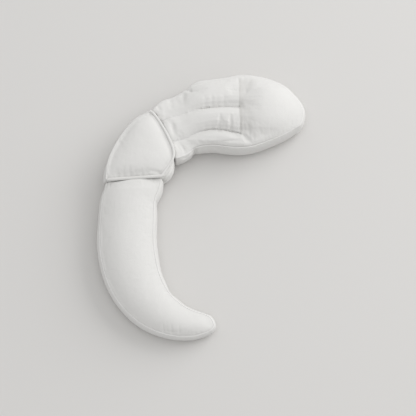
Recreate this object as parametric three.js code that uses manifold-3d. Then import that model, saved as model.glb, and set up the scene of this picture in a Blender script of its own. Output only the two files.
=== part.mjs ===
// A crescent pillow: a C-shaped body pillow sewn from three boxed cushions, lying on its back.
// The lower arm tapers to a round tip, the knee carries a three-sided panel edged with piping, and
// the upper arm has three sewn channels and a broad head. Millimetres, +Z up, resting on z = 0.
// The origin is the middle of the footprint.

import * as THREE from 'three';
import Module from 'manifold-3d';
import { mergeVertices } from 'three/addons/utils/BufferGeometryUtils.js';

// Cloth and clearances
const PRESS_GAP = 0.2;        // each cushion stays this far back from the joint it presses against
const SEAM_HALF_WIDTH = 2.5;  // half of the groove that a plain seam draws in
const SEAM_DEPTH = 3;
const CONTACT_INSET = 16;     // how far inside the seam line the flat of the base begins
const INSET_LIMIT = 0.35;     // share of a narrow end's width that an inset may take from each side
const MITRE_LIMIT = 0.6;      // lowest cosine at which a corner is still drawn out in full
const DOME_POWER = 2.3;       // 2 is a parabola, more is flatter on top and steeper at the seams
const FOLD_POWER = 1.8;       // how sharply a fold or channel seam draws in, 1 is a plain V
const FOLD_FADE = 2;          // folds reach full depth where an end has risen to 1 / FOLD_FADE
const CHANNEL_SEAM_REACH = 30;
const CORNER_BLEND = 8;       // an end's bulge is its own from 1 / (2 * CORNER_BLEND) in from a corner

// Piping round the knee's panel
const PIPING_RADIUS = 3.4;
const PIPING_CHANNEL = 5.5;   // half-width and depth of the channel that the piping lies in
const PIPING_CLEARANCE = 0.5;
const PIPING_GAP = 0.3;       // cleared round the cord where the channel turns too tightly for it
const PIPING_SIDES = 8;
const PIPING_STEPS = 96;

// Side band, from the top seam down: height as a share of the seam's, and share of the full bulge
const BAND = [
  { level: 0.96, out: 0.45 },
  { level: 0.90, out: 0.70 },
  { level: 0.82, out: 0.86 },
  { level: 0.72, out: 0.96 },
  { level: 0.58, out: 1.00 },
  { level: 0.41, out: 0.96 },
  { level: 0.24, out: 0.76 },
  { level: 0.09, out: 0.32 },
];

// Joints in plan. The lower arm meets the knee along a straight line, and the knee meets the upper
// arm along an arc through three points.
const LOWER_JOINT = { from: [-345, 84], to: [-155, 98] };
const UPPER_JOINT = arcThrough([-189, 332], [-137, 248], [-113, 168]);

// A cushion is a table. Each row is one section across it: outer and inner are the two sides of the
// top seam in plan, edge is that seam's height and rise is how far the panel swells above it. bulge
// is how far the side band stands out past the seam on the outer and the inner side, bow is how far
// the section bends forward, and steps is the number of divisions up to the next row.
//
// strips are the divisions across each strip of the panel. startBulge and endBulge are the band's
// bulge at the two ends, and startFade and endFade the lengths over which the panel rises there. lip
// and seamDepth are the half-width and depth of the groove round the panel. presses keep the cushion
// on its own side of a joint. folds are creases in the panel from one point to another, pinches draw
// the band in, and pleats draw in every second ring of it.
const LOWER_ARM = {
  rows: [
    { outer: [-335, 78], inner: [-160, 93], edge: 102, rise: 20, bulge: [5, 9], bow: -1, steps: 3 },
    { outer: [-346, 46], inner: [-167, 60], edge: 99, rise: 25, bulge: [15, 13], bow: 0, steps: 3 },
    { outer: [-353, 8], inner: [-182, 15], edge: 97, rise: 28, bulge: [17, 11], bow: 0, steps: 4 },
    { outer: [-356, -48], inner: [-184, -40], edge: 94, rise: 30, bulge: [17, 12], bow: 0, steps: 4 },
    { outer: [-358, -112], inner: [-185, -100], edge: 92, rise: 31, bulge: [19, 11], bow: 0, steps: 4 },
    { outer: [-352, -180], inner: [-180, -164], edge: 89, rise: 31, bulge: [18, 12], bow: 0, steps: 4 },
    { outer: [-329, -264], inner: [-162, -240], edge: 84, rise: 30, bulge: [16, 11], bow: 0, steps: 4 },
    { outer: [-284, -341], inner: [-126, -304], edge: 78, rise: 28, bulge: [14, 11], bow: 0, steps: 4 },
    { outer: [-216, -402], inner: [-82, -342], edge: 71, rise: 24, bulge: [13, 11], bow: 2, steps: 4 },
    { outer: [-132, -435], inner: [-46, -359], edge: 65, rise: 20, bulge: [12, 11], bow: 6, steps: 4 },
    { outer: [-54, -439], inner: [-16, -367], edge: 60, rise: 16, bulge: [12, 10], bow: 12, steps: 4 },
    { outer: [-8, -427], inner: [5, -376], edge: 57, rise: 12, bulge: [12, 11], bow: 19, steps: 0 },
  ],
  strips: [12],
  startBulge: 3,
  endBulge: 12,
  startFade: 36,
  endFade: 60,
  lip: SEAM_HALF_WIDTH,
  seamDepth: SEAM_DEPTH,
  presses: [lineStop(LOWER_JOINT, -1)],
  folds: [
    { from: [-183, 16], to: [-206, 4], depth: 6, endDepth: 0, width: 13 },
    { from: [-150, -430], to: [-152, -398], depth: 4, endDepth: 0, width: 10 },
    { from: [-122, -434], to: [-124, -404], depth: 4, endDepth: 0, width: 9 },
    { from: [-96, -438], to: [-98, -412], depth: 3, endDepth: 0, width: 9 },
  ],
  pinches: [
    { at: [-183, 18], reach: 20, depth: 4 },
    { at: [-132, -298], reach: 24, depth: 4 },
  ],
  pleats: [],
};

const KNEE = {
  rows: [
    { outer: [-341, 89], inner: [-158, 102], edge: 110, rise: 18, bulge: [20, 17], bow: 0, steps: 5 },
    { outer: [-339, 114], inner: [-137, 132], edge: 111, rise: 20, bulge: [25, 21], bow: 0, steps: 4 },
    { outer: [-334, 142], inner: [-119, 164], edge: 112, rise: 22, bulge: [23, 7], bow: 0, steps: 4 },
    { outer: [-325, 172], inner: [-121, 196], edge: 112, rise: 22, bulge: [22, 3.4], bow: 0, steps: 4 },
    { outer: [-306, 212], inner: [-137, 236], edge: 112, rise: 21, bulge: [22, 3.4], bow: 0, steps: 4 },
    { outer: [-278, 256], inner: [-158, 276], edge: 112, rise: 19, bulge: [22, 3.4], bow: 0, steps: 4 },
    { outer: [-247, 291], inner: [-176, 304], edge: 111, rise: 15, bulge: [21, 3.4], bow: 1, steps: 3 },
    { outer: [-222, 312], inner: [-188, 320], edge: 110, rise: 10, bulge: [17, 3.4], bow: 2, steps: 3 },
    { outer: [-209, 321], inner: [-194, 326], edge: 110, rise: 6, bulge: [12, 3.4], bow: 4, steps: 0 },
  ],
  strips: [20],
  startBulge: 5,
  endBulge: 6,
  startFade: 46,
  endFade: 60,
  lip: PIPING_CHANNEL,
  seamDepth: PIPING_CHANNEL,
  presses: [lineStop(LOWER_JOINT, 1), arcStop(UPPER_JOINT, -1)],
  folds: [
    { from: [-306, 94], to: [-304, 128], depth: 7, endDepth: 0, width: 11 },
    { from: [-287, 95], to: [-286, 130], depth: 7, endDepth: 0, width: 11 },
    { from: [-268, 96], to: [-268, 130], depth: 7, endDepth: 0, width: 11 },
    { from: [-250, 97], to: [-252, 126], depth: 6, endDepth: 0, width: 10 },
    { from: [-232, 98], to: [-235, 128], depth: 6, endDepth: 0, width: 10 },
    { from: [-208, 100], to: [-212, 132], depth: 6, endDepth: 0, width: 11 },
    { from: [-160, 108], to: [-192, 122], depth: 6, endDepth: 0, width: 10 },
  ],
  pinches: [],
  pleats: [
    { at: [-124, 136], reach: 52, depth: 5 },
  ],
};

// seams are where the two channel seams cross a row, as shares of the way from the outer to the inner
// side, and pinch is how deep they draw the panel in there.
const UPPER_ARM = {
  rows: [
    { outer: [-186, 341], inner: [-111, 164], edge: 106, rise: 14, bulge: [11, 6], bow: 9, steps: 6,
      seams: [0.27, 0.72], pinch: 7 },
    { outer: [-150, 372], inner: [-84, 179], edge: 97, rise: 17, bulge: [11, 9], bow: 3, steps: 6,
      seams: [0.33, 0.75], pinch: 9 },
    { outer: [-112, 387], inner: [-62, 193], edge: 94, rise: 20, bulge: [11, 9], bow: 0, steps: 5,
      seams: [0.36, 0.78], pinch: 11 },
    { outer: [-76, 411], inner: [-42, 205], edge: 94, rise: 24, bulge: [11, 9], bow: 0, steps: 6,
      seams: [0.40, 0.785], pinch: 13 },
    { outer: [-38, 437], inner: [-14, 212], edge: 96, rise: 27, bulge: [12, 10], bow: 0, steps: 6,
      seams: [0.44, 0.785], pinch: 16 },
    { outer: [10, 446], inner: [24, 214], edge: 97, rise: 29, bulge: [12, 11], bow: 0, steps: 6,
      seams: [0.44, 0.775], pinch: 18 },
    { outer: [60, 453], inner: [64, 209], edge: 97, rise: 30, bulge: [12, 11], bow: 0, steps: 6,
      seams: [0.435, 0.78], pinch: 18 },
    { outer: [106, 462], inner: [104, 206], edge: 96, rise: 31, bulge: [12, 11], bow: 0, steps: 8,
      seams: [0.45, 0.825], pinch: 16 },
    { outer: [160, 460], inner: [150, 211], edge: 94, rise: 36, bulge: [12, 11], bow: 0, steps: 5,
      seams: [0.44, 0.80], pinch: 0 },
    { outer: [214, 448], inner: [205, 231], edge: 91, rise: 38, bulge: [12, 11], bow: 2, steps: 5,
      seams: [0.42, 0.76], pinch: 0 },
    { outer: [262, 425], inner: [260, 256], edge: 88, rise: 36, bulge: [13, 11], bow: 8, steps: 5,
      seams: [0.40, 0.72], pinch: 0 },
    { outer: [300, 388], inner: [314, 290], edge: 84, rise: 30, bulge: [13, 10], bow: 18, steps: 0,
      seams: [0.36, 0.68], pinch: 0 },
  ],
  strips: [7, 6, 5],
  startBulge: 4,
  endBulge: 13,
  startFade: 12,
  endFade: 120,
  lip: SEAM_HALF_WIDTH,
  seamDepth: SEAM_DEPTH,
  presses: [arcStop(UPPER_JOINT, 1)],
  folds: [
    // The seam where the channels end at the head, and the curve in which it cuts off the inner one
    { from: [108, 462], to: [109, 346], depth: 4, endDepth: 12, width: 15 },
    { from: [109, 346], to: [111, 251], depth: 12, endDepth: 14, width: 15 },
    { from: [111, 251], to: [130, 236], depth: 14, endDepth: 11, width: 15 },
    { from: [130, 236], to: [151, 210], depth: 11, endDepth: 4, width: 15 },
    // The hollows in which the head begins, and its dimples
    { from: [120, 430], to: [121, 346], depth: 6, endDepth: 12, width: 44 },
    { from: [121, 346], to: [123, 262], depth: 12, endDepth: 10, width: 38 },
    { from: [126, 404], to: [150, 366], depth: 11, endDepth: 0, width: 34 },
    { from: [122, 300], to: [158, 278], depth: 10, endDepth: 0, width: 30 },
    // Puckers along the two channel seams
    { from: [48, 266], to: [47, 308], depth: 13, endDepth: 0, width: 13 },
    { from: [80, 262], to: [79, 308], depth: 13, endDepth: 0, width: 13 },
    { from: [20, 268], to: [18, 296], depth: 5, endDepth: 0, width: 12 },
    { from: [-10, 348], to: [-10, 384], depth: 5, endDepth: 0, width: 9 },
    { from: [14, 350], to: [14, 386], depth: 5, endDepth: 0, width: 9 },
    { from: [33, 350], to: [33, 384], depth: 5, endDepth: 0, width: 8 },
    { from: [56, 350], to: [56, 390], depth: 5, endDepth: 0, width: 9 },
    // Gathers of the sleeve's outer side
    { from: [-172, 352], to: [-160, 316], depth: 8, endDepth: 2, width: 9 },
    { from: [-150, 368], to: [-142, 319], depth: 4, endDepth: 1, width: 8 },
    { from: [-129, 379], to: [-125, 326], depth: 10, endDepth: 3, width: 10 },
    { from: [-107, 386], to: [-108, 344], depth: 4, endDepth: 1, width: 8 },
    { from: [-84, 400], to: [-88, 352], depth: 9, endDepth: 2, width: 11 },
    { from: [-71, 414], to: [-51, 400], depth: 11, endDepth: 3, width: 10 },
    // The crease that follows the joint, behind the sleeve's puffed end
    { from: [-121, 272], to: [-124, 300], depth: 6, endDepth: 3, width: 13 },
    { from: [-121, 272], to: [-112, 240], depth: 6, endDepth: 3, width: 13 },
    { from: [-92, 214], to: [-80, 186], depth: 5, endDepth: 3, width: 12 },
  ],
  pinches: [
    { at: [-130, 382], reach: 13, depth: 6 },
    { at: [-72, 414], reach: 15, depth: 8 },
    { at: [-47, 202], reach: 14, depth: 7 },
  ],
  pleats: [
    { at: [-76, 184], reach: 44, depth: 5 },
  ],
};

// Geometry of the joints

function arcThrough(a, b, c) {
  const d = 2 * (a[0] * (b[1] - c[1]) + b[0] * (c[1] - a[1]) + c[0] * (a[1] - b[1]));
  const [a2, b2, c2] = [a, b, c].map(([x, y]) => x * x + y * y);
  const x = (a2 * (b[1] - c[1]) + b2 * (c[1] - a[1]) + c2 * (a[1] - b[1])) / d;
  const y = (a2 * (c[0] - b[0]) + b2 * (a[0] - c[0]) + c2 * (b[0] - a[0])) / d;
  return { centre: new THREE.Vector2(x, y), radius: Math.hypot(a[0] - x, a[1] - y) };
}

// Keeps a point inside (side -1) or outside (side 1) an arc.
function arcStop({ centre, radius }, side) {
  const limit = radius + side * PRESS_GAP;
  return (point) => {
    const spoke = point.clone().sub(centre);
    if ((spoke.length() - limit) * side < 0) {
      point.copy(spoke.setLength(limit).add(centre));
    }
  };
}

// Keeps a point above (side 1) or below (side -1) a joint line, between the line's ends.
function lineStop({ from, to }, side) {
  return (point) => {
    const share = (point.x - from[0]) / (to[0] - from[0]);
    const stop = THREE.MathUtils.lerp(from[1], to[1], share) + side * PRESS_GAP;
    if (share > 0 && (point.y - stop) * side < 0) {
      point.y = stop;
    }
  };
}

// Reading a cushion's table

function plan(rows, column, t) {
  const points = rows.map((row) => new THREE.Vector3(...row[column], 0));
  const point = new THREE.CatmullRomCurve3(points, false, 'centripetal').getPoint(t);
  return new THREE.Vector2(point.x, point.y);
}

function value(rows, read, t) {
  return new THREE.SplineCurve(rows.map((row) => new THREE.Vector2(read(row), 0))).getPoint(t).x;
}

// One station for each step along the cushion, with everything that its section needs.
function stationsOf({ rows, strips }) {
  const places = rows.flatMap((row, i) =>
    Array.from({ length: row.steps }, (_, step) => (i + step / row.steps) / (rows.length - 1)));
  places.push(1);
  let travelled = 0;
  let previous = null;
  const stations = places.map((t) => {
    const station = {
      outer: plan(rows, 'outer', t),
      inner: plan(rows, 'inner', t),
      edge: value(rows, (row) => row.edge, t),
      rise: value(rows, (row) => row.rise, t),
      bulge: [0, 1].map((side) => value(rows, (row) => row.bulge[side], t)),
      bow: value(rows, (row) => row.bow, t),
      seams: strips.slice(1).map((_, s) => value(rows, (row) => row.seams[s], t)),
      pinch: value(rows, (row) => row.pinch ?? 0, t),
    };
    station.width = station.outer.distanceTo(station.inner);
    const middle = station.outer.clone().lerp(station.inner, 0.5);
    travelled += previous ? previous.distanceTo(middle) : 0;
    previous = middle;
    station.distance = travelled;
    return station;
  });
  for (const [i, station] of stations.entries()) {
    const chord = station.inner.clone().sub(station.outer).normalize();
    const before = stations[Math.max(0, i - 1)];
    const after = stations[Math.min(stations.length - 1, i + 1)];
    station.slant = ['outer', 'inner'].map((side) =>
      Math.abs(after[side].clone().sub(before[side]).normalize().cross(chord)));
  }
  return stations;
}

// The shares across a section at which its points lie, with one at each channel seam.
function sharesAcross(station, strips) {
  const stops = [0, ...station.seams, 1];
  const shares = strips.flatMap((count, s) => Array.from({ length: count }, (_, k) =>
    THREE.MathUtils.lerp(stops[s], stops[s + 1], k / count)));
  shares.push(1);
  return shares;
}

function across(station, share, forward) {
  const point = station.outer.clone().lerp(station.inner, share);
  const chord = station.inner.clone().sub(station.outer).normalize();
  const ahead = new THREE.Vector2(-chord.y, chord.x).multiplyScalar(forward);
  return point.addScaledVector(ahead, station.bow * Math.sin(Math.PI * share));
}

function dome(share) {
  const depth = THREE.MathUtils.clamp(share, 0, 1);
  return 1 - (1 - depth) ** DOME_POWER;
}

function distanceToFold(point, fold) {
  const from = new THREE.Vector2(...fold.from);
  const run = new THREE.Vector2(...fold.to).sub(from);
  const share = THREE.MathUtils.clamp(point.clone().sub(from).dot(run) / run.lengthSq(), 0, 1);
  return { share, distance: point.distanceTo(from.addScaledVector(run, share)) };
}

function foldDepth(point, folds) {
  return folds.reduce((deepest, fold) => {
    const { share, distance } = distanceToFold(point, fold);
    const near = Math.max(0, 1 - distance / fold.width);
    const depth = THREE.MathUtils.lerp(fold.depth, fold.endDepth, share);
    return Math.max(deepest, depth * near ** FOLD_POWER);
  }, 0);
}

function nearness(point, spot) {
  return Math.max(0, 1 - point.distanceTo(new THREE.Vector2(...spot.at)) / spot.reach);
}

function panelHeight(cushion, station, total, share, point) {
  const side = dome(2 * Math.min(share, 1 - share));
  const ends = dome(station.distance / cushion.startFade)
    * dome((total - station.distance) / cushion.endFade);
  const seam = station.seams.reduce((deepest, at) => {
    const near = Math.max(0, 1 - Math.abs(share - at) * station.width / CHANNEL_SEAM_REACH);
    return Math.max(deepest, station.pinch * near ** FOLD_POWER);
  }, 0);
  const folds = foldDepth(point, cushion.folds);
  const drawnIn = Math.max(seam, folds) * Math.min(1, ends * FOLD_FADE);
  return station.edge + station.rise * side * ends - drawnIn;
}

// Builds one boxed cushion as a closed mesh: a domed top panel, a seam groove, a bulging side band
// and a flat base.
function boxedCushion(cushion) {
  const stations = stationsOf(cushion);
  const last = stations.length - 1;
  const total = stations[last].distance;
  const columns = cushion.strips.reduce((sum, count) => sum + count, 0);
  const direction = new THREE.Vector2().subVectors(stations[1].outer, stations[0].outer);
  const firstChord = new THREE.Vector2().subVectors(stations[0].inner, stations[0].outer);
  const forward = Math.sign(-firstChord.y * direction.x + firstChord.x * direction.y);

  const shares = stations.map((station) => sharesAcross(station, cushion.strips));
  const pointAt = (i, share) => across(stations[i], share, forward);

  // The seam line, once round: out along the outer side, across the far end, back along the inner.
  const loop = [];
  for (let i = 0; i < last; i += 1) {
    loop.push({ i, j: 0, bulge: stations[i].bulge[0] });
  }
  for (let j = 0; j < columns; j += 1) {
    loop.push({ i: last, j, bulge: endBulge(stations[last], cushion.endBulge, shares[last][j]) });
  }
  for (let i = last; i > 0; i -= 1) {
    loop.push({ i, j: columns, bulge: stations[i].bulge[1] });
  }
  for (let j = columns; j > 0; j -= 1) {
    loop.push({ i: 0, j, bulge: endBulge(stations[0], cushion.startBulge, shares[0][j]) });
  }
  for (const spot of loop) {
    spot.seam = pointAt(spot.i, shares[spot.i][spot.j]);
    spot.edge = stations[spot.i].edge;
  }
  const count = loop.length;
  for (const [n, spot] of loop.entries()) {
    const ahead = loop[(n + 1) % count].seam.clone().sub(spot.seam).normalize();
    const behind = spot.seam.clone().sub(loop[(n + count - 1) % count].seam).normalize();
    const run = ahead.add(behind).normalize();
    spot.outward = new THREE.Vector2(-run.y, run.x).multiplyScalar(forward);
    spot.mitre = 1 / Math.max(MITRE_LIMIT, run.dot(ahead));
    for (const pinch of cushion.pinches) {
      spot.bulge -= pinch.depth * nearness(spot.seam, pinch);
    }
  }

  const vertices = [];
  const faces = [];
  const addPoint = (point, z) => vertices.push(point.x, point.y, z) / 3 - 1;
  const addQuad = (a, b, c, d) => faces.push(a, b, c, a, c, d);

  // A point of the loop on the same outline drawn in by a given distance.
  const inset = (spot, distance) => {
    const station = stations[spot.i];
    const [fromOuter, fromInner] = station.slant.map((slant) =>
      Math.min(distance / slant / station.width, INSET_LIMIT));
    const target = THREE.MathUtils.lerp(distance, total - distance, station.distance / total);
    const next = Math.max(1, stations.findIndex((station) => station.distance >= target));
    const before = stations[next - 1];
    const step = (target - before.distance) / (stations[next].distance - before.distance);
    const share = THREE.MathUtils.lerp(fromOuter, 1 - fromInner, shares[spot.i][spot.j]);
    return pointAt(next - 1, share).lerp(pointAt(next, share), step);
  };
  const ring = (place) => loop.map((spot, n) => {
    const { point, z } = place(spot, n);
    for (const press of cushion.presses) {
      press(point);
    }
    return addPoint(point, z);
  });

  const rings = [
    ring((spot) => ({ point: inset(spot, cushion.lip), z: spot.edge })),
    ring((spot) => ({ point: spot.seam.clone(), z: spot.edge - cushion.seamDepth })),
    ring((spot) => {
      const out = Math.min(cushion.lip, spot.bulge);
      return {
        point: spot.seam.clone().addScaledVector(spot.outward, out * spot.mitre),
        z: spot.edge - cushion.seamDepth + out * cushion.seamDepth / cushion.lip,
      };
    }),
  ];
  for (const [k, { level, out }] of BAND.entries()) {
    rings.push(ring((spot) => {
      const pleat = cushion.pleats.reduce((sum, one) => sum + one.depth * nearness(spot.seam, one), 0);
      const reach = spot.bulge * out - (k % 2) * pleat;
      return { point: spot.seam.clone().addScaledVector(spot.outward, reach), z: spot.edge * level };
    }));
  }
  rings.push(ring((spot) => ({ point: inset(spot, CONTACT_INSET), z: 0 })));
  for (let k = 0; k + 1 < rings.length; k += 1) {
    for (let n = 0; n < count; n += 1) {
      const m = (n + 1) % count;
      addQuad(rings[k][n], rings[k][m], rings[k + 1][m], rings[k + 1][n]);
    }
  }

  // The top panel, a grid whose rim is the first ring.
  const rim = new Map(loop.map((spot, n) => [`${spot.i},${spot.j}`, rings[0][n]]));
  const panel = stations.map((station, i) => shares[i].map((share, j) => {
    if (rim.has(`${i},${j}`)) {
      return rim.get(`${i},${j}`);
    }
    const point = pointAt(i, share);
    return addPoint(point, panelHeight(cushion, station, total, share, point));
  }));
  for (let i = 0; i < last; i += 1) {
    for (let j = 0; j < columns; j += 1) {
      addQuad(panel[i][j], panel[i][j + 1], panel[i + 1][j + 1], panel[i + 1][j]);
    }
  }

  // The base, flat on the surface: a strip along the cushion, with a fan at each end.
  const base = rings[rings.length - 1];
  const outerSide = (i) => base[i];
  const farEnd = (j) => base[last + j];
  const innerSide = (i) => base[2 * last + columns - i];
  const nearEnd = (j) => base[(2 * (last + columns) - j) % count];
  for (let i = 1; i < last - 1; i += 1) {
    addQuad(outerSide(i), outerSide(i + 1), innerSide(i + 1), innerSide(i));
  }
  for (let j = 0; j < columns; j += 1) {
    faces.push(outerSide(last - 1), farEnd(j), farEnd(j + 1));
    faces.push(outerSide(1), nearEnd(j + 1), nearEnd(j));
  }
  faces.push(outerSide(last - 1), farEnd(columns), innerSide(last - 1));
  faces.push(outerSide(1), innerSide(1), nearEnd(columns));
  return { geometry: closedGeometry(vertices, faces), loop };
}

// A cord laid in the channel round a cushion's panel, touching neither side of it.
function pipingAround(loop, radius) {
  const lift = (PIPING_RADIUS + PIPING_CLEARANCE) * Math.SQRT2 - PIPING_CHANNEL;
  const path = new THREE.CatmullRomCurve3(
    loop.map(({ seam, edge }) => new THREE.Vector3(seam.x, seam.y, edge + lift)), true, 'centripetal');
  const section = new THREE.Shape();
  section.absarc(0, 0, radius, 0, 2 * Math.PI);
  const cord = new THREE.ExtrudeGeometry(section, {
    extrudePath: path, steps: PIPING_STEPS, curveSegments: PIPING_SIDES / 2,
  });
  cord.deleteAttribute('normal');
  cord.deleteAttribute('uv');
  return mergeVertices(cord);
}

// The band's bulge across an end, which runs into that of the sides at the two corners.
function endBulge(station, bulge, share) {
  const corner = THREE.MathUtils.lerp(...station.bulge, share);
  return THREE.MathUtils.lerp(corner, bulge, Math.min(1, CORNER_BLEND * Math.min(share, 1 - share)));
}

// Turns points and faces into a geometry whose faces point outwards.
function closedGeometry(vertices, faces) {
  const corner = (n) => new THREE.Vector3(...vertices.slice(3 * n, 3 * n + 3));
  let volume = 0;
  for (let n = 0; n < faces.length; n += 3) {
    volume += corner(faces[n]).dot(corner(faces[n + 1]).cross(corner(faces[n + 2]))) / 6;
  }
  if (volume < 0) {
    faces.reverse();
  }
  const geometry = new THREE.BufferGeometry();
  geometry.setAttribute('position', new THREE.Float32BufferAttribute(vertices, 3));
  geometry.setIndex(faces);
  const merged = mergeVertices(geometry);
  merged.computeVertexNormals();
  return merged;
}

const manifold = await Module();
manifold.setup();

function solidOf(geometry) {
  const bare = geometry.clone();
  bare.deleteAttribute('normal');
  bare.deleteAttribute('uv');
  const merged = mergeVertices(bare);
  return new manifold.Manifold(new manifold.Mesh({
    numProp: 3,
    vertProperties: new Float32Array(merged.attributes.position.array),
    triVerts: new Uint32Array(merged.index.array),
  }));
}

function geometryOf(solid) {
  const { vertProperties, triVerts } = solid.getMesh();
  const geometry = new THREE.BufferGeometry();
  geometry.setAttribute('position', new THREE.BufferAttribute(vertProperties, 3));
  geometry.setIndex(new THREE.BufferAttribute(triVerts, 1));
  geometry.computeVertexNormals();
  return geometry;
}

const cotton = { color: 0xe9e7e2, roughness: 0.95, metalness: 0 };

function clothMesh(name, geometry) {
  const mesh = new THREE.Mesh(geometry, new THREE.MeshStandardMaterial(cotton));
  mesh.name = name;
  return mesh;
}

const lowerArm = boxedCushion(LOWER_ARM);
const knee = boxedCushion(KNEE);
const kneePiping = pipingAround(knee.loop, PIPING_RADIUS);
const kneeGroove = pipingAround(knee.loop, PIPING_RADIUS + PIPING_GAP);
const upperArm = boxedCushion(UPPER_ARM);

const pillow = new THREE.Group();
pillow.add(clothMesh('lower_arm', lowerArm.geometry));
pillow.add(clothMesh('knee', geometryOf(solidOf(knee.geometry).subtract(solidOf(kneeGroove)))));
pillow.add(clothMesh('knee_piping', kneePiping));
pillow.add(clothMesh('upper_arm', upperArm.geometry));

const middle = new THREE.Box3().setFromObject(pillow).getCenter(new THREE.Vector3());
pillow.position.set(-middle.x, -middle.y, 0);

export default pillow;
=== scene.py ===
"""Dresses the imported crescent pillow: three padded cushions, the piping and the studio round them."""

import math

import bpy
import numpy as np
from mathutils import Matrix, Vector
from mathutils.kdtree import KDTree


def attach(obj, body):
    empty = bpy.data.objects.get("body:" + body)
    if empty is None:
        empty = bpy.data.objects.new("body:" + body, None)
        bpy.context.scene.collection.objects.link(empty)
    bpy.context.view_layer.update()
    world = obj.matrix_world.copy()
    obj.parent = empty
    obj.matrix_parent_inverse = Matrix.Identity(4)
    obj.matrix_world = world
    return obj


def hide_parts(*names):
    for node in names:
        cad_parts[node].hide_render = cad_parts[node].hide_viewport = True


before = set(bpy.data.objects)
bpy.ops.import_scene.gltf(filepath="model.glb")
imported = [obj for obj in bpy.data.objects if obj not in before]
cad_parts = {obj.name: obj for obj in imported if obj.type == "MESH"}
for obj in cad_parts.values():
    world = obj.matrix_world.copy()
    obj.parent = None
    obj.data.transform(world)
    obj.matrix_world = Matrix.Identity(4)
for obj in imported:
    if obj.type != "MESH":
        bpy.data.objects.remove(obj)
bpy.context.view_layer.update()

bl_info = {
    "name": "Crescent pillow",
    "version": (1, 0, 0),
    "blender": (4, 5, 0),
    "location": "View3D > Sidebar > Pillow",
    "description": "Builds a C-shaped body pillow from padded cotton cushions",
    "category": "Object",
}

BODY = "root"
SEAM_STEP = 0.002
PANEL_FLOOR = 0.06    # the upper arm's top panel lies above this height

# The seam near the floor, between the side band and the base
HEM_HEIGHT = 0.011
HEM_DEPTH = 0.0014
HEM_HALF_WIDTH = 0.002

# Seams in metres. Each cushion's top seam has an outer and an inner side, given as x, y and height
# from the cushion's start to its far end, and each end is a straight run or a bow between them.
LOWER_ARM_OUTER = (
    (-0.318, 0.067, 0.101), (-0.330, 0.035, 0.098), (-0.338, -0.003, 0.095), (-0.342, -0.059, 0.091),
    (-0.344, -0.123, 0.089), (-0.337, -0.191, 0.086), (-0.313, -0.275, 0.082), (-0.267, -0.352, 0.077),
    (-0.197, -0.413, 0.071), (-0.113, -0.446, 0.065), (-0.035, -0.450, 0.060), (0.011, -0.438, 0.057),
)
LOWER_ARM_INNER = (
    (-0.141, 0.082, 0.102), (-0.148, 0.049, 0.099), (-0.163, 0.004, 0.097), (-0.165, -0.051, 0.094),
    (-0.166, -0.111, 0.092), (-0.161, -0.175, 0.089), (-0.143, -0.251, 0.084), (-0.107, -0.315, 0.078),
    (-0.063, -0.353, 0.071), (-0.027, -0.370, 0.065), (0.003, -0.378, 0.060), (0.024, -0.387, 0.057),
)
KNEE_OUTER = (
    (-0.322, 0.078, 0.110), (-0.320, 0.103, 0.111), (-0.315, 0.131, 0.112), (-0.306, 0.161, 0.112),
    (-0.287, 0.201, 0.112), (-0.259, 0.245, 0.112), (-0.228, 0.280, 0.111), (-0.203, 0.301, 0.110),
    (-0.190, 0.310, 0.110),
)
KNEE_INNER = (
    (-0.139, 0.091, 0.110), (-0.118, 0.121, 0.111), (-0.100, 0.153, 0.112), (-0.102, 0.185, 0.112),
    (-0.118, 0.225, 0.112), (-0.139, 0.265, 0.112), (-0.157, 0.293, 0.111), (-0.169, 0.309, 0.110),
    (-0.175, 0.315, 0.110),
)
UPPER_ARM_OUTER = (
    (-0.167, 0.330, 0.106), (-0.131, 0.361, 0.097), (-0.093, 0.376, 0.094), (-0.057, 0.400, 0.094),
    (-0.019, 0.426, 0.096), (0.029, 0.435, 0.097), (0.079, 0.442, 0.097), (0.125, 0.451, 0.096),
    (0.179, 0.449, 0.094), (0.233, 0.437, 0.091), (0.281, 0.414, 0.088), (0.319, 0.377, 0.084),
)
UPPER_ARM_INNER = (
    (-0.092, 0.153, 0.106), (-0.065, 0.168, 0.097), (-0.043, 0.182, 0.094), (-0.023, 0.194, 0.094),
    (0.005, 0.201, 0.096), (0.043, 0.203, 0.097), (0.083, 0.198, 0.097), (0.123, 0.195, 0.096),
    (0.169, 0.200, 0.094), (0.224, 0.220, 0.091), (0.279, 0.245, 0.088), (0.333, 0.279, 0.084),
)
# How far the seam across each cushion's start and its far end bows to the left of its run
LOWER_ARM_BOWS = (-0.001, -0.019)
KNEE_BOWS = (0, 0.004)
UPPER_ARM_BOWS = (-0.009, 0.018)

# The sewn channels' seams in plan: the outer one, the inner one, and the one that ends them.
CHANNEL_OUTER = (
    (-0.145, 0.284), (-0.109, 0.297), (-0.075, 0.306), (-0.043, 0.317), (-0.008, 0.327), (0.035, 0.332),
    (0.081, 0.334), (0.125, 0.333),
)
CHANNEL_INNER = (
    (-0.111, 0.204), (-0.081, 0.216), (-0.054, 0.224), (-0.030, 0.238), (0.000, 0.249), (0.040, 0.255),
    (0.082, 0.251), (0.128, 0.240),
)
CHANNEL_END = (
    (0.125, 0.451), (0.126, 0.395), (0.126, 0.335), (0.127, 0.285), (0.128, 0.240), (0.147, 0.225),
    (0.170, 0.199),
)

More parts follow.
